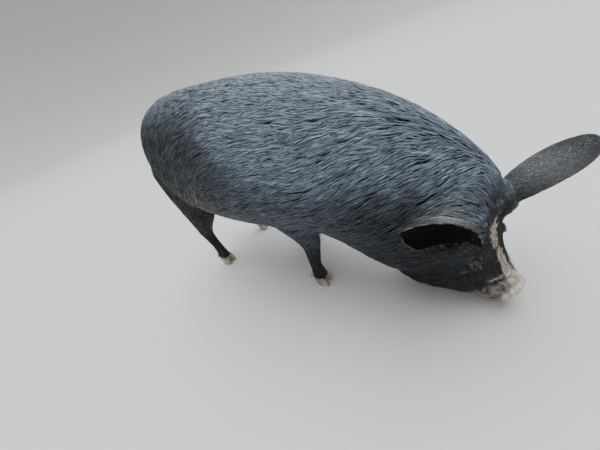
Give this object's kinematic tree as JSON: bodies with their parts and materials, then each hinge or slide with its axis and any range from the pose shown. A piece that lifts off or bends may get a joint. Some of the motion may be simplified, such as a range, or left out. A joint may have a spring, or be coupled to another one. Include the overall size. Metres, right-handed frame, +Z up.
{
  "type": "pig",
  "caption": "Small black long-haired farm pig with pale muzzle and feet, a still life-size model walking with its head lowered and turned.",
  "frame": {"origin": "on the floor, under the middle of the model's bounding box", "axes": "+X towards the head, +Y to the pig's left, +Z up"},
  "size_m": [1.0496, 0.359, 0.5403],
  "materials": {
    "coat": "long wavy black hair over skin",
    "pale_skin": "bare pale pinkish skin",
    "hoof": "pale horn, fine vertical ridges",
    "eye": "wet dark brown eye"
  },
  "bodies": {
    "root": {"claw_front_left_inner": "hoof", "claw_front_left_outer": "hoof", "claw_front_right_inner": "hoof", "claw_front_right_outer": "hoof", "claw_hind_left_inner": "hoof", "claw_hind_left_outer": "hoof", "claw_hind_right_inner": "hoof", "claw_hind_right_outer": "hoof", "dewclaw_front_left_inner": "hoof", "dewclaw_front_left_outer": "hoof", "dewclaw_front_right_inner": "hoof", "dewclaw_front_right_outer": "hoof", "dewclaw_hind_left_inner": "hoof", "dewclaw_hind_left_outer": "hoof", "dewclaw_hind_right_inner": "hoof", "dewclaw_hind_right_outer": "hoof", "ear_left": "coat", "ear_right": "coat", "eye_left": "eye", "eye_right": "eye", "head": "coat", "leg_front_left_lower": "coat", "leg_front_left_upper": "coat", "leg_front_right_lower": "coat", "leg_front_right_upper": "coat", "leg_hind_left_lower": "coat", "leg_hind_left_upper": "coat", "leg_hind_right_lower": "coat", "leg_hind_right_upper": "coat", "lower_jaw": "coat", "neck": "coat", "snout": "pale_skin", "tail": "coat", "trunk": "coat"}
  },
  "joints": []
}
